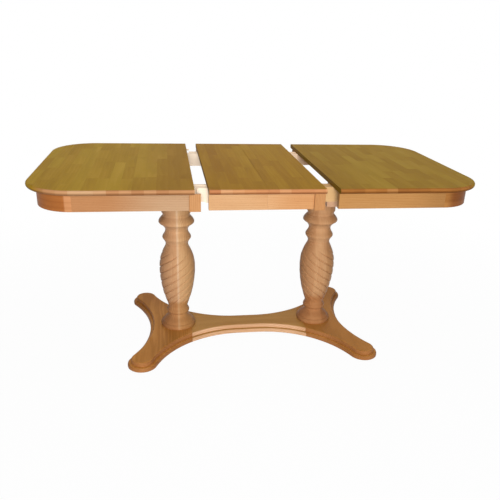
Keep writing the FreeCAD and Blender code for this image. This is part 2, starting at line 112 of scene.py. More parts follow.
def startPiece(piece):
    activate(piece)
    bpy.ops.object.transform_apply(location=True, rotation=True, scale=True)
    bpy.ops.object.mode_set(mode="EDIT")


def pick(kind, test):
    # selects the vertices, edges or faces whose middle passes the test
    mesh = bpy.context.object.data
    bpy.ops.mesh.select_mode(type=kind)
    bpy.ops.mesh.select_all(action="DESELECT")
    shape = bmesh.from_edit_mesh(mesh)
    parts = {"VERT": shape.verts, "EDGE": shape.edges, "FACE": shape.faces}[kind]
    for part in parts:
        if kind == "VERT":
            part.select = test(part.co)
        elif kind == "EDGE":
            part.select = test(part.verts[0].co, part.verts[1].co)
        else:
            part.select = test(part.calc_center_median(), part.normal)
    shape.select_flush_mode()
    bmesh.update_edit_mesh(mesh)


def copyPiece(piece):
    copy = piece.copy()
    copy.data = piece.data.copy()
    bpy.context.scene.collection.objects.link(copy)
    return copy


def applyAll(piece):
    activate(piece)
    for modifier in list(piece.modifiers):
        bpy.ops.object.modifier_apply(modifier=modifier.name)


def settle(piece, name, body, stands, material, smoothAngle=35):
    # last steps of every piece: place in the mesh, smooth shading, body and material
    if bpy.context.object.mode == "EDIT":
        bpy.ops.object.mode_set(mode="OBJECT")
    activate(piece)
    bpy.ops.object.transform_apply(location=True, rotation=True, scale=True)
    bpy.ops.object.shade_smooth_by_angle(angle=math.radians(smoothAngle))
    even = piece.modifiers.new("even", "WEIGHTED_NORMAL")  # large flat faces stay flat
    even.keep_sharp = True
    applyAll(piece)
    piece.name = name
    piece.data.name = name
    piece.data.materials.clear()
    piece.data.materials.append(material)
    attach(piece, body)
    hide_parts(*stands)
    return piece


# wood figure, shared by all wooden finishes; the vector's Z runs along the grain, in metres

def woodFigure(tree, place, look):
    stretched = addNode(tree, "ShaderNodeVectorMath", {"operation": "MULTIPLY"},
                        {0: place, 1: (1, 1, look["cloudStretch"])}).outputs[0]
    clouds = addNode(tree, "ShaderNodeTexNoise", {}, {
        "Vector": stretched, "Scale": 1 / (look["cloudWidth"] * mm), "Detail": 2.0,
        "Roughness": 0.5}).outputs[0]
    fromPith = addNode(tree, "ShaderNodeVectorMath", {"operation": "ADD"},
                       {0: place, 1: (*look["pith"], 0)}).outputs[0]
    flattened = addNode(tree, "ShaderNodeVectorMath", {"operation": "MULTIPLY"},
                        {0: fromPith, 1: (1, 1, 0)}).outputs[0]
    radius = addNode(tree, "ShaderNodeVectorMath", {"operation": "LENGTH"},
                     {0: flattened}).outputs["Value"]
    wander = addNode(tree, "ShaderNodeMath", {"operation": "MULTIPLY_ADD"},
                     {0: clouds, 1: look["wander"] * mm, 2: radius}).outputs[0]
    turns = addNode(tree, "ShaderNodeMath", {"operation": "MULTIPLY"},
                    {0: wander, 1: 2 * math.pi / (look["ringWidth"] * mm)}).outputs[0]
    wave = addNode(tree, "ShaderNodeMath", {"operation": "SINE"}, {0: turns}).outputs[0]
    rings = addNode(tree, "ShaderNodeMapRange", {"interpolation_type": "SMOOTHSTEP"}, {
        "Value": wave, "From Min": -0.6, "From Max": 1.0}).outputs[0]
    drawnOut = addNode(tree, "ShaderNodeVectorMath", {"operation": "MULTIPLY"},
                       {0: place, 1: (1, 1, look["fibreStretch"])}).outputs[0]
    fibres = addNode(tree, "ShaderNodeTexNoise", {}, {
        "Vector": drawnOut, "Scale": 1 / (look["fibreWidth"] * mm), "Detail": 3.0,
        "Roughness": 0.65}).outputs[0]
    dashPlace = addNode(tree, "ShaderNodeVectorMath", {"operation": "MULTIPLY"},
                        {0: place, 1: (1, 1, look["fleckStretch"])}).outputs[0]
    dashes = addNode(tree, "ShaderNodeTexNoise", {}, {
        "Vector": dashPlace, "Scale": 1 / (look["fleckWidth"] * mm), "Detail": 1.0}).outputs[0]
    flecks = addNode(tree, "ShaderNodeMapRange", {}, {
        "Value": dashes, "From Min": look["fleckRange"][0],
        "From Max": look["fleckRange"][1]}).outputs[0]
    cloudPart = addNode(tree, "ShaderNodeMath", {"operation": "MULTIPLY"},
                        {0: clouds, 1: look["cloudShare"]}).outputs[0]
    ringPart = addNode(tree, "ShaderNodeMath", {"operation": "MULTIPLY_ADD"},
                       {0: rings, 1: look["ringShare"], 2: cloudPart}).outputs[0]
    tone = addNode(tree, "ShaderNodeMath", {"operation": "MULTIPLY_ADD"},
                   {0: fibres, 1: look["fibreShare"], 2: ringPart}).outputs[0]
    colour = addNode(tree, "ShaderNodeValToRGB", {}, {0: tone}, look["tones"]).outputs[0]
    fleckShade = addNode(tree, "ShaderNodeMath", {"operation": "MULTIPLY"},
                         {0: flecks, 1: look["fleckDepth"]}).outputs[0]
    fleckTint = addNode(tree, "ShaderNodeMix", {"data_type": "RGBA", "blend_type": "MULTIPLY"}, {
        0: fleckShade, 6: colour, 7: fromHex(look["fleckTint"])}).outputs[2]
    return fleckTint, fibres


def finishWood(tree, colour, height, look):
    output = addNode(tree, "ShaderNodeOutputMaterial")
    bump = addNode(tree, "ShaderNodeBump", {}, {
        "Height": height, "Strength": look["bump"],
        "Distance": look["bumpDepth"] * mm}).outputs[0]
    roughness = addNode(tree, "ShaderNodeMapRange", {}, {
        "Value": height, "From Min": 0.3, "From Max": 0.7,
        "To Min": look["roughness"] - 0.05, "To Max": look["roughness"] + 0.05}).outputs[0]
    shader = addNode(tree, "ShaderNodeBsdfPrincipled", {}, {
        "Base Color": colour, "Roughness": roughness, "Normal": bump, "IOR": 1.5,
        "Specular IOR Level": look["gloss"], "Coat Weight": look["coat"],
        "Coat Roughness": look["coatRoughness"], "Coat IOR": 1.5})
    tree.links.new(shader.outputs[0], output.inputs[0])


def fadeAlong(tree, colour, value, fade):
    # the tint comes in as the value goes from the first number to the second
    start, end, tint = fade
    share = addNode(tree, "ShaderNodeMapRange", {"interpolation_type": "SMOOTHSTEP"}, {
        "Value": value, "From Min": start, "From Max": end}).outputs[0]
    return addNode(tree, "ShaderNodeMix", {"data_type": "RGBA", "blend_type": "MULTIPLY"},
                   {0: share, 6: colour, 7: fromHex(tint)}).outputs[2]


def newMaterial(name):
    material = bpy.data.materials.new(name)
    material.use_nodes = True
    material.node_tree.nodes.clear()
    return material


# beech, planed or turned, then satin lacquered: fine straight grain, small dark ray flecks
beech = {
    "cloudWidth": 45, "ringWidth": 5.5, "fibreWidth": 0.9, "fleckWidth": 0.8,  # mm
    "cloudStretch": 0.14, "fibreStretch": 0.02, "fleckStretch": 0.13,  # along the grain
    "pith": (0.06, 0.045), "wander": 16,  # m beside the board, mm in and out
    "cloudShare": 0.5, "ringShare": 0.16, "fibreShare": 0.34,
    "fleckRange": (0.66, 0.74), "fleckDepth": 0.35, "fleckTint": "#7a4a28",
    "bump": 0.10, "bumpDepth": 0.25,  # mm, deeper than real grain so that it shows
    "roughness": 0.42, "gloss": 0.06, "coat": 0.03, "coatRoughness": 0.28,
}

# sRGB tones from the dark to the light of each finish
boardTones = {
    "leafApron": [(0.2, "#b4855c"), (0.5, "#c3976b"), (0.8, "#d0ab87")],
    "leftApron": [(0.2, "#9e7956"), (0.5, "#ae8a68"), (0.8, "#bb9b7e")],
    "rightApron": [(0.2, "#986937"), (0.5, "#aa7b48"), (0.8, "#b68b59")],
    # the corner tones are partly the wood's own and partly painted shade; the end tones are
    # darkened as painted shade of faces turned away from the light
    "leftCorner": [(0.2, "#9d6843"), (0.5, "#b37b50"), (0.8, "#c89064")],
    "leftEnd": [(0.2, "#955d34"), (0.5, "#aa6e40"), (0.8, "#bf824f")],
    "rightCorner": [(0.2, "#87592a"), (0.5, "#9a6836"), (0.8, "#aa7944")],
    "rightEnd": [(0.2, "#835126"), (0.5, "#966032"), (0.8, "#a56f3e")],
    "block": [(0.2, "#9f6c3e"), (0.5, "#b17e50"), (0.8, "#be9064")],
    "pedestal": [(0.2, "#b38d6c"), (0.5, "#cba785"), (0.8, "#dcc3a4")],
    "footBoard": [(0.2, "#a96d31"), (0.5, "#c28342"), (0.8, "#d99a56")],
    "stretcher": [(0.2, "#be8d60"), (0.5, "#deab7c"), (0.8, "#f6cba3")],
    "bearer": [(0.2, "#a17756"), (0.5, "#b48d6f"), (0.8, "#c2a185")],
    "dowel": [(0.2, "#d9bb97"), (0.5, "#e6cdad"), (0.8, "#efdcc3")],
}


def lacqueredBeech(name, tones, grain, offset, fade=None, paintedFacingShade=None):
    # fade: axis, from and to in metres, tint; paintedFacingShade: painted shade multiplied on the
    # flat tops, then on the sloping edges, for how the light falls on each
    look = dict(beech, tones=boardTones[tones])
    material = newMaterial(name)
    tree = material.node_tree
    coordinates = addNode(tree, "ShaderNodeTexCoord")
    source = coordinates.outputs["UV" if grain == "uv" else "Object"]
    parts = addNode(tree, "ShaderNodeSeparateXYZ", {}, {0: source}).outputs
    order = {"X": (1, 2, 0), "Y": (2, 0, 1), "Z": (0, 1, 2), "uv": (1, 2, 0)}[grain]
    turned = addNode(tree, "ShaderNodeCombineXYZ", {},
                     {k: parts[axis] for k, axis in enumerate(order)}).outputs[0]
    place = addNode(tree, "ShaderNodeVectorMath", {"operation": "ADD"},
                    {0: turned, 1: offset}).outputs[0]
    colour, height = woodFigure(tree, place, look)
    if fade:
        along = addNode(tree, "ShaderNodeSeparateXYZ", {},
                        {0: coordinates.outputs["Object"]}).outputs[fade[0]]
        colour = fadeAlong(tree, colour, along, fade[1:])
    # painted shade by facing: the upward faces and the sloping edges are darkened apart
    if paintedFacingShade:
        upward = addNode(tree, "ShaderNodeSeparateXYZ", {},
                         {0: coordinates.outputs["Normal"]}).outputs[2]
        sloping, flat = 0.75, 0.97
        colour = fadeAlong(tree, colour, upward, (sloping, flat, paintedFacingShade[0]))
        colour = fadeAlong(tree, colour, upward, (flat, sloping, paintedFacingShade[1]))
    finishWood(tree, colour, height, look)
    return material


# beech, turned from a blank of glued pieces: each piece has its own tone and one joint is pale;
# the tones across the blank also darken towards both sides, which is painted shade where the round
# turns away from the light
turnings = {
    "left": {
        "middle": -0.305, "half": 75 * mm, "along": 0.0, "foot": (0.17, 0.15, "#e7d7bf"),
        "piecesAndSideShade": [(0.0, "#c2ab98"), (0.12, "#d8c2ae"), (0.3, "#e6d2bf"), (0.475, "#f3e2d0"),
                   (0.49, "#ffffff"), (0.53, "#fffaf2"), (0.55, "#f4e6cf"), (0.85, "#e6d6b8"),
                   (1.0, "#cdbba0")],
    },
    "right": {
        "middle": 0.305, "half": 75 * mm, "along": 3.0, "foot": (0.18, 0.15, "#ecdac8"),
        "piecesAndSideShade": [(0.0, "#ccb69e"), (0.15, "#dac3ab"), (0.33, "#e0c8b0"), (0.345, "#ead6bf"),
                   (0.66, "#e6d2bb"), (0.675, "#dcc6ab"), (0.85, "#d6bfa3"), (1.0, "#c4ae92")],
    },
}


def turnedBeech(name, blank):
    look = dict(beech, tones=boardTones["pedestal"])
    material = newMaterial(name)
    tree = material.node_tree
    coordinates = addNode(tree, "ShaderNodeTexCoord")
    place = addNode(tree, "ShaderNodeVectorMath", {"operation": "ADD"}, {
        0: coordinates.outputs["Object"], 1: (-blank["middle"], 0, blank["along"])}).outputs[0]
    figure, height = woodFigure(tree, place, look)
    across = addNode(tree, "ShaderNodeSeparateXYZ", {}, {0: place}).outputs[0]
    share = addNode(tree, "ShaderNodeMapRange", {}, {
        "Value": across, "From Min": -blank["half"], "From Max": blank["half"]}).outputs[0]
    # the tone ramp across holds the piece tones and painted shade on both sides
    piecesAndSideShade = addNode(tree, "ShaderNodeValToRGB", {}, {0: share}, blank["piecesAndSideShade"]).outputs[0]
    colour = addNode(tree, "ShaderNodeMix", {"data_type": "RGBA", "blend_type": "MULTIPLY"},
                     {0: 1.0, 6: figure, 7: piecesAndSideShade}).outputs[2]
    level = addNode(tree, "ShaderNodeSeparateXYZ", {},
                    {0: coordinates.outputs["Object"]}).outputs[2]
    finishWood(tree, fadeAlong(tree, colour, level, blank["foot"]), height, look)
    return material


# glued beech staves, stained olive brown and oiled: planks of one width and random length, each
# with its own tone, nearly matt from any side; their end grain takes the stain pink to brown
staves = dict(
    beech, width=40.0, shortest=150.0, spread=300.0,  # mm
    partTones=[(0.0, "#eee4cf"), (0.4, "#f6efe0"), (0.7, "#fbf7ef"), (1.0, "#ffffff")],
    rowShift=31.7, figureShift=(0.4, 0.4, 7.0),  # how far the joints and the figure move on
    cloudShare=0.68, ringShare=0.08, fibreShare=0.24,
    # lowerRound darkens the lower half of the rounded edge: painted shade
    seam=0.9, seamDepth=0.12, seamTint="#4a3010", lowerRound=(0.35, -0.35, "#c4bcb4"),
    endTilt=(0.12, 0.4), endHeading=(0.6, 0.9), roughness=0.5, gloss=0.02, coat=0.0,
)
topBoards = {
    "left": {
        "shift": 0.37, "fade": (-0.50, -0.27, "#eadecd"),
        "tones": [(0.2, "#99781f"), (0.5, "#a78626"), (0.8, "#b59235")],
        "endTones": [(0.0, "#a6744d"), (0.35, "#b18057"), (0.7, "#b88c65"), (1.0, "#bf9973")],
    },
    "leaf": {
        "shift": 40.1, "fade": (0.05, -0.20, "#f5eee2"),
        "tones": [(0.2, "#906a11"), (0.5, "#9e7716"), (0.8, "#aa8320")],
        "endTones": [(0.0, "#ae714a"), (0.35, "#bb8155"), (0.7, "#c28d62"), (1.0, "#cb9e76")],
    },
    "right": {
        "shift": 83.6, "fade": (0.45, 0.27, "#f6f2ee"),
        "tones": [(0.2, "#8f701e"), (0.5, "#9d7d24"), (0.8, "#a98a34")],
        # the right board's end tones are darker: partly its own stain, partly painted shade of
        # light coming from the left
        "endTones": [(0.0, "#8b582b"), (0.4, "#95602e"), (0.7, "#9d6733"), (1.0, "#a67443")],
    },
}


def staveBoard(name, board):
    material = newMaterial(name)
    tree = material.node_tree
    coordinates = addNode(tree, "ShaderNodeTexCoord")
    x, y, z = addNode(tree, "ShaderNodeSeparateXYZ", {},
                      {0: coordinates.outputs["Object"]}).outputs
    across = addNode(tree, "ShaderNodeMath", {"operation": "MULTIPLY_ADD"},
                     {0: x, 1: 1 / (staves["width"] * mm), 2: board["shift"]}).outputs[0]
    row = addNode(tree, "ShaderNodeMath", {"operation": "FLOOR"}, {0: across}).outputs[0]
    rowChance = addNode(tree, "ShaderNodeTexWhiteNoise", {"noise_dimensions": "1D"},
                        {"W": row}).outputs["Value"]
    length = addNode(tree, "ShaderNodeMath", {"operation": "MULTIPLY_ADD"}, {
        0: rowChance, 1: staves["spread"] * mm, 2: staves["shortest"] * mm}).outputs[0]
    count = addNode(tree, "ShaderNodeMath", {"operation": "DIVIDE"}, {0: y, 1: length}).outputs[0]
    along = addNode(tree, "ShaderNodeMath", {"operation": "MULTIPLY_ADD"},
                    {0: rowChance, 1: staves["rowShift"], 2: count}).outputs[0]
    part = addNode(tree, "ShaderNodeMath", {"operation": "FLOOR"}, {0: along}).outputs[0]
    partPlace = addNode(tree, "ShaderNodeCombineXYZ", {}, {0: row, 1: part}).outputs[0]
    chance = addNode(tree, "ShaderNodeTexWhiteNoise", {"noise_dimensions": "2D"},
                     {"Vector": partPlace}).outputs
    turned = addNode(tree, "ShaderNodeCombineXYZ", {}, {0: x, 1: z, 2: y}).outputs[0]
    place = addNode(tree, "ShaderNodeVectorMath", {"operation": "MULTIPLY_ADD"},
                    {0: chance["Color"], 1: staves["figureShift"], 2: turned}).outputs[0]
    figure, height = woodFigure(tree, place, dict(staves, tones=board["tones"]))
    partTone = addNode(tree, "ShaderNodeValToRGB", {}, {0: chance["Value"]},
                       staves["partTones"]).outputs[0]
    longGrain = addNode(tree, "ShaderNodeMix", {"data_type": "RGBA", "blend_type": "MULTIPLY"},
                        {0: 1.0, 6: figure, 7: partTone}).outputs[2]
    endTone = addNode(tree, "ShaderNodeValToRGB", {}, {0: chance["Value"]},
                      board["endTones"]).outputs[0]
    # end grain shows on the rounded edge, and only where that looks along the staves
    upward = addNode(tree, "ShaderNodeSeparateXYZ", {},
                     {0: coordinates.outputs["Normal"]}).outputs[2]
    level = addNode(tree, "ShaderNodeVectorMath", {"operation": "MULTIPLY"},
                    {0: coordinates.outputs["Normal"], 1: (1, 1, 0)}).outputs[0]
    tilt = addNode(tree, "ShaderNodeVectorMath", {"operation": "LENGTH"},
                   {0: level}).outputs["Value"]
    heading = addNode(tree, "ShaderNodeVectorMath", {"operation": "NORMALIZE"},
                      {0: level}).outputs[0]
    alongStaves = addNode(tree, "ShaderNodeMath", {"operation": "ABSOLUTE"}, {
        0: addNode(tree, "ShaderNodeSeparateXYZ", {}, {0: heading}).outputs[1]}).outputs[0]
    rounded = addNode(tree, "ShaderNodeMapRange", {"interpolation_type": "SMOOTHSTEP"}, {
        "Value": tilt, "From Min": staves["endTilt"][0],
        "From Max": staves["endTilt"][1]}).outputs[0]
    cut = addNode(tree, "ShaderNodeMapRange", {"interpolation_type": "SMOOTHSTEP"}, {
        "Value": alongStaves, "From Min": staves["endHeading"][0],
        "From Max": staves["endHeading"][1]}).outputs[0]
    endMask = addNode(tree, "ShaderNodeMath", {"operation": "MULTIPLY"},
                      {0: rounded, 1: cut}).outputs[0]
    longGrain = fadeAlong(tree, longGrain, x, board["fade"])
    mixed = addNode(tree, "ShaderNodeMix", {"data_type": "RGBA"},
                    {0: endMask, 6: longGrain, 7: endTone}).outputs[2]
    # the lower half of the rounded edge is darkened: painted shade
    mixed = fadeAlong(tree, mixed, upward, staves["lowerRound"])
    lines = []
    for value, scale in ((across, staves["width"] * mm), (along, length)):
        fold = addNode(tree, "ShaderNodeMath", {"operation": "PINGPONG"},
                       {0: value, 1: 0.5}).outputs[0]
        distance = addNode(tree, "ShaderNodeMath", {"operation": "MULTIPLY"},
                           {0: fold, 1: scale}).outputs[0]
        lines.append(addNode(tree, "ShaderNodeMapRange", {}, {
            "Value": distance, "From Min": 0.0, "From Max": staves["seam"] * mm / 2,
            "To Min": 1.0, "To Max": 0.0}).outputs[0])
    seam = addNode(tree, "ShaderNodeMath", {"operation": "MAXIMUM"},
                   {0: lines[0], 1: lines[1]}).outputs[0]
    seamShade = addNode(tree, "ShaderNodeMath", {"operation": "MULTIPLY"},
                        {0: seam, 1: staves["seamDepth"]}).outputs[0]
    colour = addNode(tree, "ShaderNodeMix", {"data_type": "RGBA", "blend_type": "MULTIPLY"},
                     {0: seamShade, 6: mixed, 7: fromHex(staves["seamTint"])}).outputs[2]
    finishWood(tree, colour, height, staves)
    return material


# bare planed birch for the slides: very pale, matt, no lacquer
birch = dict(
    beech, tones=[(0.2, "#efd9bd"), (0.5, "#f6e3cb"), (0.8, "#f8e9d5")],
    fleckDepth=0.12, roughness=0.62, gloss=0.1, coat=0.0,
)


def bareBirch(name, fade):
    material = newMaterial(name)
    tree = material.node_tree
    coordinates = addNode(tree, "ShaderNodeTexCoord")
    x, y, z = addNode(tree, "ShaderNodeSeparateXYZ", {},
                      {0: coordinates.outputs["Object"]}).outputs
    place = addNode(tree, "ShaderNodeCombineXYZ", {}, {0: y, 1: z, 2: x}).outputs[0]
    colour, height = woodFigure(tree, place, birch)
    finishWood(tree, fadeAlong(tree, colour, x, fade), height, birch)
    return material


# small hard parts: a fine cloudy tone and bump over one colour, their grit in mm
hardParts = {
    "zincPlatedSteel": {"tones": [(0.3, "#a9abad"), (0.7, "#c6c8ca")], "metallic": 1.0,
                        "roughness": 0.34, "grit": 0.8},  # bright, faintly blotched plating
    "satinBrass": {"tones": [(0.3, "#b08a46"), (0.7, "#cba560")], "metallic": 1.0,
                   "roughness": 0.30, "grit": 0.6},  # drawn and brushed
    "mouldedNylon": {"tones": [(0.3, "#d9d4c6"), (0.7, "#e8e4d8")], "metallic": 0.0,
                     "roughness": 0.48, "grit": 1.2},  # milky, slightly waxy
    "mouldedPolyethylene": {"tones": [(0.3, "#1d1916"), (0.7, "#2b2622")], "metallic": 0.0,
                            "roughness": 0.55, "grit": 1.0},  # dull black, faintly grained
}


def hardMaterial(name):
    look = hardParts[name]
    material = newMaterial(name)
    tree = material.node_tree
    coordinates = addNode(tree, "ShaderNodeTexCoord")
    clouds = addNode(tree, "ShaderNodeTexNoise", {}, {
        "Vector": coordinates.outputs["Object"], "Scale": 1 / (look["grit"] * 10 * mm),
        "Detail": 4.0}).outputs[0]
    grit = addNode(tree, "ShaderNodeTexNoise", {}, {
        "Vector": coordinates.outputs["Object"], "Scale": 1 / (look["grit"] * mm),
        "Detail": 2.0}).outputs[0]
    colour = addNode(tree, "ShaderNodeValToRGB", {}, {0: clouds}, look["tones"]).outputs[0]
    bump = addNode(tree, "ShaderNodeBump", {}, {
        "Height": grit, "Strength": 0.08, "Distance": 0.1 * mm}).outputs[0]
    roughness = addNode(tree, "ShaderNodeMapRange", {}, {
        "Value": clouds, "To Min": look["roughness"] - 0.06,
        "To Max": look["roughness"] + 0.06}).outputs[0]
    output = addNode(tree, "ShaderNodeOutputMaterial")
    shader = addNode(tree, "ShaderNodeBsdfPrincipled", {}, {
        "Base Color": colour, "Metallic": look["metallic"], "Roughness": roughness,
        "Normal": bump})
    tree.links.new(shader.outputs[0], output.inputs[0])
    return material


materials = {
    "leftTop": staveBoard("oiledBeechStavesLeft", topBoards["left"]),
    "leafTop": staveBoard("oiledBeechStavesLeaf", topBoards["leaf"]),
    "rightTop": staveBoard("oiledBeechStavesRight", topBoards["right"]),
    "leafApron": lacqueredBeech("lacqueredBeechSalmon", "leafApron", "X", (0.1, 0.3, 0.5),
                                fade=("X", -0.08, 0.12, "#f8e9d8")),
    "leafApronRight": lacqueredBeech("lacqueredBeechSalmonDeep", "leafApron", "X",
                                     (0.7, 0.1, 2.9), fade=("X", -0.08, 0.12, "#f8e9d8")),
    "leftApron": lacqueredBeech("lacqueredBeechPale", "leftApron", "X", (0.4, 0.2, 1.5),
                                fade=("X", -0.34, -0.56, "#f4d8bc")),
    "rightApron": lacqueredBeech("lacqueredBeechAmber", "rightApron", "X", (0.8, 0.6, 4.5),
                                 fade=("X", 0.5, 0.66, "#e8e6e3")),
    "leftEnd": lacqueredBeech("lacqueredBeechLeftEnd", "leftEnd", "Y", (0.2, 0.9, 3.5)),
    "rightEnd": lacqueredBeech("lacqueredBeechRightEnd", "rightEnd", "Y", (0.6, 0.3, 5.5)),
    # the corner boards darken towards their outer ends: painted shade where the curve turns away
    # from the light
    "leftCorner": lacqueredBeech("lacqueredBeechLeftCorner", "leftCorner", "uv", (0.2, 0.5, 7.0),
                                 fade=("X", -0.669, -0.676, "#d4bb94")),
    "rightCorner": lacqueredBeech("lacqueredBeechRightCorner", "rightCorner", "uv",
                                  (0.5, 0.7, 9.0), fade=("X", 0.655, 0.69, "#d2bcb9")),
    "block": lacqueredBeech("lacqueredBeechBlock", "block", "Z", (0.3, 0.3, 0.1)),
    "leftPedestal": turnedBeech("turnedBeechLeft", turnings["left"]),
    "rightPedestal": turnedBeech("turnedBeechRight", turnings["right"]),
    # foot boards: painted shade, darker towards the back feet as the light falls off, and darker
    # on the sloping edges by facing
    "footBoard": lacqueredBeech("lacqueredBeechFoot", "footBoard", "Y", (0.1, 0.4, 0.0),
                                fade=("Y", 0.05, 0.26, "#e2dac8"), paintedFacingShade=("#fafdf6", "#d4d1eb")),
    # the stretcher's flat top is darkened by facing: painted shade
    "stretcher": lacqueredBeech("lacqueredBeechStretcher", "stretcher", "X", (0.5, 0.2, 0.6),
                                paintedFacingShade=("#d4cb97", "#f3f6ff")),
    "bearer": lacqueredBeech("lacqueredBeechBearer", "bearer", "Y", (0.9, 0.1, 0.2)),
    "frontBirch": bareBirch("planedBirchFront", (-0.05, 0.2, "#cab18b")),  # darker and yellower towards the right
    "backBirch": bareBirch("planedBirchBack", (0.1, 0.3, "#f6e6d8")),
    "dowel": lacqueredBeech("turnedBeechDowel", "dowel", "X", (0.6, 0.8, 0.3)),
}
for name in hardParts:
    materials[name] = hardMaterial(name)
print("materials ready")


# table top panels
topPanel = {
    "cornerRadius": 172 * mm, "cornerSteps": 30,
    "nosing": 8.5 * mm, "nosingSteps": 7,
    "arris": 0.7 * mm,
    "holeDepth": 14 * mm, "holeSides": 32,
    "dowelHole": 3.3 * mm, "dowelRows": (0, 310 * mm),
    "cupHole": 6.03 * mm, "cupRows": (-300 * mm, -100 * mm, 100 * mm, 300 * mm),
}


def boxPiece(low, high):
    bpy.ops.object.select_all(action="DESELECT")
    bpy.ops.mesh.primitive_cube_add(size=1, location=(low + high) / 2)
    piece = bpy.context.object
    piece.scale = high - low
    startPiece(piece)
    return piece


def drillEdge(piece, edgeX, level, rows, radius):
    for y in rows:
        bpy.ops.object.select_all(action="DESELECT")
        bpy.ops.mesh.primitive_cylinder_add(
            vertices=topPanel["holeSides"], radius=radius, depth=2 * topPanel["holeDepth"],
            location=(edgeX, y, level), rotation=(0, math.radians(90), 0))
        drill = bpy.context.object
        cut = piece.modifiers.new("hole", "BOOLEAN")
        cut.operation = "DIFFERENCE"
        cut.object = drill
        applyAll(piece)
        bpy.data.objects.remove(drill)


def makeTopHalf(name, node, body, side, material):
    low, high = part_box(node)
    outerX = low.x if side < 0 else high.x
    innerX = high.x if side < 0 else low.x
    piece = boxPiece(low, high)
    pick("EDGE", lambda a, b: near(a.x, outerX) and near(b.x, outerX) and not near(a.z, b.z))
    bpy.ops.mesh.bevel(offset=topPanel["cornerRadius"], segments=topPanel["cornerSteps"],
                       affect="EDGES")
    pick("EDGE", lambda a, b: near(a.z, b.z) and not (near(a.x, innerX) and near(b.x, innerX)))
    bpy.ops.mesh.bevel(offset=topPanel["nosing"], segments=topPanel["nosingSteps"],
                       affect="EDGES")
    pick("EDGE", lambda a, b: near(a.z, b.z) and near(a.x, innerX) and near(b.x, innerX)
         and (near(a.z, low.z) or near(a.z, high.z)))
    bpy.ops.mesh.bevel(offset=topPanel["arris"], segments=2, affect="EDGES")
    bpy.ops.object.mode_set(mode="OBJECT")
    if side > 0:
        drillEdge(piece, innerX, (low.z + high.z) / 2, topPanel["dowelRows"],
                  topPanel["dowelHole"])
    return settle(piece, name, body, [node], material)


def makeLeafHalf(name, node, body, side, material):
    low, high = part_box(node)
    piece = boxPiece(low, high)
    pick("EDGE", lambda a, b: near(a.z, b.z) and near(a.y, b.y))
    bpy.ops.mesh.bevel(offset=topPanel["nosing"], segments=topPanel["nosingSteps"],
                       affect="EDGES")
    pick("EDGE", lambda a, b: near(a.z, b.z) and near(a.x, b.x)
         and (near(a.z, low.z) or near(a.z, high.z)))
    bpy.ops.mesh.bevel(offset=topPanel["arris"], segments=2, affect="EDGES")
    bpy.ops.object.mode_set(mode="OBJECT")
    level = (low.z + high.z) / 2
    if side < 0:
        drillEdge(piece, low.x, level, topPanel["dowelRows"], topPanel["dowelHole"])
    drillEdge(piece, high.x if side < 0 else low.x, level, topPanel["cupRows"],
              topPanel["cupHole"])
    return settle(piece, name, body, [node], material)


makeTopHalf("leftTopBoard", "left_panel", "left_top", -1, materials["leftTop"])
makeTopHalf("rightTopBoard", "right_panel", "right_top", 1, materials["rightTop"])
makeLeafHalf("leafBoardLeft", "leaf_left_panel", "leaf_left", -1, materials["leafTop"])
makeLeafHalf("leafBoardRight", "leaf_right_panel", "leaf_right", 1, materials["leafTop"])
print("top ready")


# curved corner aprons
cornerApron = {"radius": 130 * mm, "thickness": 18 * mm, "steps": 28, "arris": 1.2 * mm}


def makeCornerApron(node, body, sideX, sideY):
    low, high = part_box(node)
    centre = Vector((high.x if sideX < 0 else low.x, high.y if sideY < 0 else low.y, 0))
    radius, thickness = cornerApron["radius"], cornerApron["thickness"]
    start = Vector((centre.x, centre.y + sideY * (radius - thickness / 2), (low.z + high.z) / 2))
    bpy.ops.object.select_all(action="DESELECT")
    bpy.ops.mesh.primitive_plane_add(size=1, location=start, rotation=(0, math.radians(90), 0))
    piece = bpy.context.object
    piece.scale = (high.z - low.z, thickness, 1)
    startPiece(piece)
    bpy.ops.mesh.select_all(action="SELECT")
    turn = math.radians(90) * (1 if sideX == sideY else -1)
    bpy.ops.mesh.spin(steps=cornerApron["steps"], angle=turn, center=(centre.x, centre.y, 0),
                      axis=(0, 0, 1))
    bpy.ops.mesh.select_all(action="SELECT")
    bpy.ops.mesh.normals_make_consistent(inside=False)
    pick("EDGE", lambda a, b: near(a.z, low.z) and near(b.z, low.z)
         and near((a - centre).xy.length, (b - centre).xy.length))
    bpy.ops.mesh.bevel(offset=cornerApron["arris"], segments=3, affect="EDGES")
    bpy.ops.object.mode_set(mode="OBJECT")
    wrap = piece.data.uv_layers.new(name="alongBoard")
    for loop in piece.data.loops:
        corner = piece.data.vertices[loop.vertex_index].co
        angle = math.atan2(corner.y - centre.y, corner.x - centre.x)
        wrap.data[loop.index].uv = (angle * radius, corner.z)
    return settle(piece, node.replace("_apron", "_board"), body, [node],
                  materials["leftCorner" if sideX < 0 else "rightCorner"])


for sideName, sideX in (("left", -1), ("right", 1)):
    for faceName, sideY in (("front", -1), ("back", 1)):
        makeCornerApron(sideName + "_" + faceName + "_corner_apron", sideName + "_top",
                        sideX, sideY)
print("corner aprons ready")


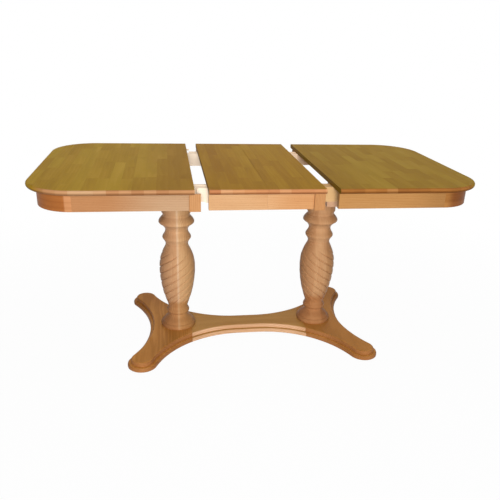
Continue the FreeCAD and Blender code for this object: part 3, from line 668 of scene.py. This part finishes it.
# pedestals, as (radius, height) in mm; "curve" runs smoothly through its points
pedestal = {
    "around": 128, "ringStep": 4.0,
    "profile": [
        ("arc", [(73, 38), (74.5, 46.5), (68.5, 55.5)]),
        ("line", [(68.5, 55.5), (66, 57), (65.5, 59)]),
        ("curve", [(65.5, 59), (61.5, 65.5), (54, 72.5), (46, 79.5), (40.5, 87), (39, 94)]),
        ("line", [(39, 94), (41, 95.5)]),
        ("arc", [(41, 95.5), (48, 106), (43, 117.5)]),
        ("curve", [(43, 117.5), (41, 128), (42.5, 135), (47.5, 150), (54, 170), (60, 190),
                   (64.6, 210), (68.4, 230), (71.2, 250), (73.6, 272), (74.8, 295),
                   (74.6, 316), (73.2, 334), (70.4, 350), (65.5, 366), (58.5, 384),
                   (51.5, 398), (47.4, 407), (46.6, 412.5)]),
        ("line", [(46.6, 412.5), (45.4, 413.5), (45.4, 415), (46.8, 416)]),
        ("curve", [(46.8, 416), (48.4, 422.5), (52.5, 430), (57, 436.5), (59.3, 443), (57, 450),
                   (51.6, 458.5), (47.8, 467), (46.6, 475)]),
        ("line", [(46.6, 475), (45.8, 476), (45.8, 477.5), (47.2, 478.5)]),
        ("curve", [(47.2, 478.5), (50.5, 486), (56.5, 493.5), (63.5, 499.5), (70.5, 504.5),
                   (73.4, 510), (70.5, 518.5), (64, 527), (57.8, 534)]),
        ("line", [(57.8, 534), (56.2, 535)]),
        ("curve", [(56.2, 535), (55.6, 540), (57, 545.5), (60.6, 551)]),
        ("line", [(60.6, 551), (60.6, 648), (15, 648), (15, 634.5)]),  # ends in the nut's well
    ],
    "grooves": 8, "grooveDepth": 4.2, "grooveShare": 0.13, "crown": 0.16,
    "carvedFrom": 130, "carvedTo": 396, "fadeBelow": 30, "fadeAbove": 40,
    "twist": 350,  # degrees over the carved length
}


def arcPoints(start, middle, end, step):
    ax, ay, bx, by, cx, cy = *start, *middle, *end
    d = 2 * (ax * (by - cy) + bx * (cy - ay) + cx * (ay - by))
    ux = ((ax**2 + ay**2) * (by - cy) + (bx**2 + by**2) * (cy - ay)
          + (cx**2 + cy**2) * (ay - by)) / d
    uy = ((ax**2 + ay**2) * (cx - bx) + (bx**2 + by**2) * (ax - cx)
          + (cx**2 + cy**2) * (bx - ax)) / d
    radius = math.hypot(ax - ux, ay - uy)
    first = math.atan2(ay - uy, ax - ux)
    last = math.atan2(cy - uy, cx - ux)
    count = max(4, round(radius * abs(last - first) / step))
    angles = [first + (last - first) * k / count for k in range(1, count + 1)]
    return [(ux + radius * math.cos(a), uy + radius * math.sin(a)) for a in angles]


def curvePoints(points, step):
    # Catmull-Rom through the points, with the ends doubled
    padded = [points[0], *points, points[-1]]
    made = []
    for p0, p1, p2, p3 in zip(padded, padded[1:], padded[2:], padded[3:]):
        count = max(2, round(math.dist(p1, p2) / step))
        for k in range(1, count + 1):
            t = k / count
            made.append(tuple(0.5 * (2 * b + (c - a) * t + (2 * a - 5 * b + 4 * c - d) * t * t
                                     + (3 * b - a - 3 * c + d) * t ** 3)
                              for a, b, c, d in zip(p0, p1, p2, p3)))
    return made


def profilePoints():
    made = [pedestal["profile"][0][1][0]]
    for kind, points in pedestal["profile"]:
        if kind == "line":
            made += points[1:]
        elif kind == "arc":
            made += arcPoints(*points, pedestal["ringStep"])
        else:
            made += curvePoints(points, pedestal["ringStep"])
    return made


def smoothStep(value):
    value = min(1, max(0, value))
    return value * value * (3 - 2 * value)


def carvingWeight(place):
    # 1 in the bottom of a groove, a little on the rounded edges of the strips between them
    height = place.z / mm
    fade = (smoothStep((height - pedestal["carvedFrom"]) / pedestal["fadeBelow"])
            * smoothStep((pedestal["carvedTo"] - height) / pedestal["fadeAbove"]))
    strip = math.atan2(place.y, place.x) / (2 * math.pi) * pedestal["grooves"]
    offset = abs(strip - round(strip))
    groove = max(0, 1 - offset / pedestal["grooveShare"])
    crown = pedestal["crown"] * (1 - 2 * offset) ** 2
    return fade * min(1, groove + crown * (1 - groove))


def turnPedestal():
    points = profilePoints()
    radius, height = points[0]
    bpy.ops.object.select_all(action="DESELECT")
    bpy.ops.mesh.primitive_circle_add(vertices=pedestal["around"], radius=radius * mm,
                                      fill_type="NGON", location=(0, 0, height * mm))
    piece = bpy.context.object
    startPiece(piece)
    bpy.ops.mesh.select_all(action="SELECT")
    for nextRadius, nextHeight in points[1:]:
        bpy.ops.mesh.extrude_region_move(
            TRANSFORM_OT_translate={"value": (0, 0, (nextHeight - height) * mm)})
        ratio = nextRadius / radius
        bpy.ops.transform.resize(value=(ratio, ratio, 1),
                                 center_override=(0, 0, nextHeight * mm))
        radius, height = nextRadius, nextHeight
    bpy.ops.mesh.select_all(action="SELECT")
    bpy.ops.mesh.normals_make_consistent(inside=False)
    bpy.ops.object.mode_set(mode="OBJECT")
    group = piece.vertex_groups.new(name="carving")
    for vertex in piece.data.vertices:
        group.add([vertex.index], carvingWeight(vertex.co), "REPLACE")
    carve = piece.modifiers.new("carve", "DISPLACE")
    carve.vertex_group = "carving"
    carve.mid_level = 0
    carve.strength = -pedestal["grooveDepth"] * mm
    applyAll(piece)
    return piece


def makePedestal(plain, name, node, x, hand, material):
    piece = copyPiece(plain)
    heights = [height for kind, points in pedestal["profile"] for radius, height in points]
    bottom, span = min(heights), max(heights) - min(heights)
    wind = piece.modifiers.new("wind", "SIMPLE_DEFORM")
    wind.deform_method = "TWIST"
    wind.deform_axis = "Z"
    wind.angle = math.radians(pedestal["twist"] * hand)
    wind.limits = ((pedestal["carvedFrom"] - bottom) / span,
                   (pedestal["carvedTo"] - bottom) / span)
    applyAll(piece)
    piece.location.x = x
    return settle(piece, name, "frame", [node], material, 40)


plainPedestal = turnPedestal()
for name, hand in (("left", 1), ("right", -1)):
    low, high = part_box(name + "_pedestal")
    makePedestal(plainPedestal, name + "PedestalTurning", name + "_pedestal",
                 (low.x + high.x) / 2, hand, materials[name + "Pedestal"])
bpy.data.objects.remove(plainPedestal)
print("pedestals ready")


# base board: its outline is arcs, its edge is a list of (inset, rise) steps in mm
base = {
    "foot": (453.5, 279), "footRadius": 58, "waist": 60, "straight": 42, "notch": 427.5,
    "bottom": 4, "lowerTop": 21, "top": 38,
    "lowerRound": 8, "upperInset": 14, "upperRound": 6, "footing": 1.5,
    "roundSteps": 5, "arcSteps": (40, 30, 26), "joint": 249, "arris": 0.5,
}


def roundSteps(radius):
    # a quarter round, rising and turning inwards
    angles = [math.radians(90) * k / base["roundSteps"] for k in range(base["roundSteps"] + 1)]
    points = [(radius * (1 - math.cos(a)), radius * math.sin(a)) for a in angles]
    return [(b[0] - a[0], b[1] - a[1]) for a, b in zip(points, points[1:])]


def spinFrom(start, centre, end, steps, clockwise):
    # an arc from start to end; spin turns clockwise for a positive angle
    pick("VERT", lambda v: near(v.x, start.x) and near(v.y, start.y))
    a, b = (p - centre for p in (start, end))
    angle = (math.atan2(a.y, a.x) - math.atan2(b.y, b.x)) % (2 * math.pi)
    if not clockwise:
        angle -= 2 * math.pi
    bpy.ops.mesh.spin(steps=steps, angle=angle, center=(centre.x, centre.y, start.z),
                      axis=(0, 0, 1))


def quarterOutline():
    # from the middle of the front edge round one foot to the middle of the end
    fx, fy = base["foot"]
    r, waist, straight, notch = (base[key] for key in ("footRadius", "waist", "straight", "notch"))
    sideRadius = ((fx - straight)**2 + (fy - waist)**2 - r**2) / (2 * (r + fy - waist))
    endRadius = (fy**2 + (fx - notch)**2 - r**2) / (2 * (r + fx - notch))
    level = base["bottom"] * mm
    foot = Vector((fx, -fy, 0)) * mm
    sideCentre = Vector((straight, -(waist + sideRadius), 0)) * mm
    endCentre = Vector((notch + endRadius, 0, 0)) * mm
    start = Vector((0, -waist * mm, level))
    atSide = foot + (sideCentre - foot).normalized() * r * mm
    atEnd = foot + (endCentre - foot).normalized() * r * mm
    finish = Vector((notch * mm, 0, level))
    for point in (atSide, atEnd):
        point.z = level
    bpy.ops.object.select_all(action="DESELECT")
    bpy.ops.mesh.primitive_plane_add(size=1 * mm, location=start)
    piece = bpy.context.object
    startPiece(piece)
    pick("VERT", lambda v: True)
    bpy.ops.mesh.merge(type="CENTER")
    bpy.ops.mesh.extrude_region_move(
        TRANSFORM_OT_translate={"value": (straight * mm, 0, 0)})
    sideSteps, footSteps, endSteps = base["arcSteps"]
    spinFrom(start + Vector((straight * mm, 0, 0)), sideCentre, atSide, sideSteps, True)
    spinFrom(atSide, foot, atEnd, footSteps, False)
    spinFrom(atEnd, endCentre, finish, endSteps, True)
    bpy.ops.object.mode_set(mode="OBJECT")
    return piece


def makeBase():
    whole = quarterOutline()
    for axis in (0, 1):
        mirror = whole.modifiers.new("mirror", "MIRROR")
        mirror.use_axis = [axis == k for k in range(3)]
        mirror.merge_threshold = 0.2 * mm
    applyAll(whole)
    bpy.ops.object.mode_set(mode="EDIT")
    bpy.ops.mesh.select_all(action="SELECT")
    bpy.ops.mesh.remove_doubles(threshold=0.1 * mm)
    bpy.ops.mesh.edge_face_add()
    bpy.ops.mesh.normals_make_consistent(inside=False)
    pick("FACE", lambda centre, normal: True)
    if bmesh.from_edit_mesh(whole.data).faces[:][0].normal.z < 0:
        bpy.ops.mesh.flip_normals()
    steps = [(0, base["lowerTop"] - base["bottom"] - base["lowerRound"])]
    steps += roundSteps(base["lowerRound"])
    steps += [(base["upperInset"] - base["lowerRound"], 0)]
    steps += [(0, base["top"] - base["lowerTop"] - base["upperRound"])]
    steps += roundSteps(base["upperRound"])
    for inset, rise in steps:
        if inset > 0.001:
            bpy.ops.mesh.inset(thickness=inset * mm, depth=rise * mm)
        else:
            bpy.ops.mesh.extrude_region_move(
                TRANSFORM_OT_translate={"value": (0, 0, rise * mm)})
    bpy.ops.mesh.select_all(action="SELECT")
    bpy.ops.mesh.normals_make_consistent(inside=False)
    level = base["bottom"] * mm
    pick("EDGE", lambda a, b: near(a.z, level) and near(b.z, level))
    bpy.ops.mesh.bevel(offset=base["footing"] * mm, segments=1, affect="EDGES")
    bpy.ops.object.mode_set(mode="OBJECT")
    joint = base["joint"] * mm
    boards = (("leftFootBoard", "left_foot_board", "footBoard", -1),
              ("baseStretcher", "stretcher_board", "stretcher", 0),
              ("rightFootBoard", "right_foot_board", "footBoard", 1))
    for name, node, finish, side in boards:
        piece = copyPiece(whole)
        activate(piece)
        bpy.ops.object.mode_set(mode="EDIT")
        for cut in ((-joint, joint) if side == 0 else (side * joint,)):
            outward = 1 if cut > 0 else -1
            bpy.ops.mesh.select_all(action="SELECT")
            bpy.ops.mesh.bisect(plane_co=(cut, 0, 0), plane_no=(outward, 0, 0), use_fill=True,
                                clear_outer=side == 0, clear_inner=side != 0)
            pick("EDGE", lambda a, b: near(a.x, cut) and near(b.x, cut))
            bpy.ops.mesh.bevel(offset=base["arris"] * mm, segments=2, affect="EDGES")
        settle(piece, name, "frame", [node], materials[finish])
    bpy.data.objects.remove(whole)


makeBase()
print("base ready")


# finishes of the CAD parts that stay as they are
nodeFinishes = {
    "leaf_left_front_apron": "leafApron", "leaf_left_back_apron": "leafApron",
    "leaf_right_front_apron": "leafApronRight", "leaf_right_back_apron": "leafApronRight",
    "left_front_apron": "leftApron", "left_back_apron": "leftApron",
    "right_front_apron": "rightApron", "right_back_apron": "rightApron",
    "left_end_apron": "leftEnd", "right_end_apron": "rightEnd",
    "left_joint_block": "block", "leaf_joint_blocks": "block",
    "left_inner_bearer": "bearer", "right_inner_bearer": "bearer",
    "left_outer_bearer": "bearer", "right_outer_bearer": "bearer", "gear_bridge": "bearer",
    "left_seam_braces": "bearer", "right_seam_braces": "bearer",
    "base_joint_dowels": "dowel", "left_locating_dowels": "dowel",
    "leaf_locating_dowels": "dowel",
    "leaf_left_hinge_cups": "satinBrass", "leaf_right_hinge_cups": "satinBrass",
    "left_rack": "mouldedNylon", "right_rack": "mouldedNylon", "drive_pinion": "mouldedNylon",
    "floor_glides": "mouldedPolyethylene",
}


def finishNodes():
    for name, part in nodes.items():
        if name.endswith(("slide_bar", "centre_rail")):
            finish = "backBirch" if "back" in name else "frontBirch"
        else:
            finish = nodeFinishes.get(name, "zincPlatedSteel")
        part.data.materials.clear()
        part.data.materials.append(materials[finish])


finishNodes()
print("CAD parts finished")


# floor, world and lamps
studio = {
    "floor": "#cfcfcf", "floorSize": 60.0,
    "glow": (0.97, 1.0), "glowReach": (1.0, 2.4),  # the floor turns white away from the table
    "ambient": 0.17, "ambientColour": "#f8f8f8",
    "lamps": [  # place, target, size in metres, watts, seen in gloss
        ("keyLamp", (-0.5, -4.2, 1.75), (0, 0, 0.4), 1.2, 144, False),
        ("lowLamp", (0.1, -3.2, 0.3), (0, 0, 0.3), 1.2, 32, True),
        ("topLamp", (0.1, -0.2, 3.4), (0, 0, 0.7), 2.6, 34, True),
        ("backLamp", (0.2, 3.2, 1.9), (0, 0, 0.2), 1.6, 50, False),
    ],
}


def seenDirectly(tree):
    # 1 for what the camera, a shiny surface or glass sees, 0 for the light on the table
    rays = addNode(tree, "ShaderNodeLightPath").outputs
    shiny = addNode(tree, "ShaderNodeMath", {"operation": "MAXIMUM"}, {
        0: rays["Is Glossy Ray"], 1: rays["Is Transmission Ray"]}).outputs[0]
    return addNode(tree, "ShaderNodeMath", {"operation": "MAXIMUM"},
                   {0: rays["Is Camera Ray"], 1: shiny}).outputs[0]


def makeFloor():
    bpy.ops.object.select_all(action="DESELECT")
    bpy.ops.mesh.primitive_plane_add(size=studio["floorSize"], location=(0, 0, 0))
    floor = bpy.context.object
    floor.name = "floor"
    material = newMaterial("paleFloor")
    tree = material.node_tree
    output = addNode(tree, "ShaderNodeOutputMaterial")
    matt = addNode(tree, "ShaderNodeBsdfDiffuse", {}, {0: fromHex(studio["floor"])}).outputs[0]
    white = addNode(tree, "ShaderNodeEmission", {}, {0: (1, 1, 1, 1), 1: 1.0}).outputs[0]
    coordinates = addNode(tree, "ShaderNodeTexCoord")
    away = addNode(tree, "ShaderNodeVectorMath", {"operation": "LENGTH"},
                   {0: coordinates.outputs["Object"]}).outputs["Value"]
    glow = addNode(tree, "ShaderNodeMapRange", {"interpolation_type": "SMOOTHSTEP"}, {
        "Value": away, "From Min": studio["glowReach"][0], "From Max": studio["glowReach"][1],
        "To Min": studio["glow"][0], "To Max": studio["glow"][1]}).outputs[0]
    share = addNode(tree, "ShaderNodeMath", {"operation": "MULTIPLY"},
                    {0: seenDirectly(tree), 1: glow}).outputs[0]
    mixed = addNode(tree, "ShaderNodeMixShader", {}, {0: share, 1: matt, 2: white}).outputs[0]
    tree.links.new(mixed, output.inputs[0])
    floor.data.materials.append(material)


def makeWorld():
    world = bpy.data.worlds.new("studio")
    world.use_nodes = True
    bpy.context.scene.world = world
    tree = world.node_tree
    tree.nodes.clear()
    output = addNode(tree, "ShaderNodeOutputWorld")
    ambient = addNode(tree, "ShaderNodeBackground", {}, {
        0: fromHex(studio["ambientColour"]), 1: studio["ambient"]}).outputs[0]
    backdrop = addNode(tree, "ShaderNodeBackground", {}, {0: (1, 1, 1, 1), 1: 1.0}).outputs[0]
    mixed = addNode(tree, "ShaderNodeMixShader", {},
                    {0: seenDirectly(tree), 1: ambient, 2: backdrop}).outputs[0]
    tree.links.new(mixed, output.inputs[0])


def makeLamps():
    for name, place, target, size, watts, inGloss in studio["lamps"]:
        bpy.ops.object.light_add(type="AREA", location=place)
        lamp = bpy.context.object
        lamp.name = name
        aim = Vector(target) - Vector(place)
        lamp.rotation_euler = aim.to_track_quat("-Z", "Y").to_euler()
        lamp.data.size = size
        lamp.data.energy = watts
        lamp.visible_camera = False
        lamp.visible_glossy = inGloss


makeFloor()
makeWorld()
makeLamps()
bpy.context.scene.view_settings.view_transform = "Standard"
print("studio ready")
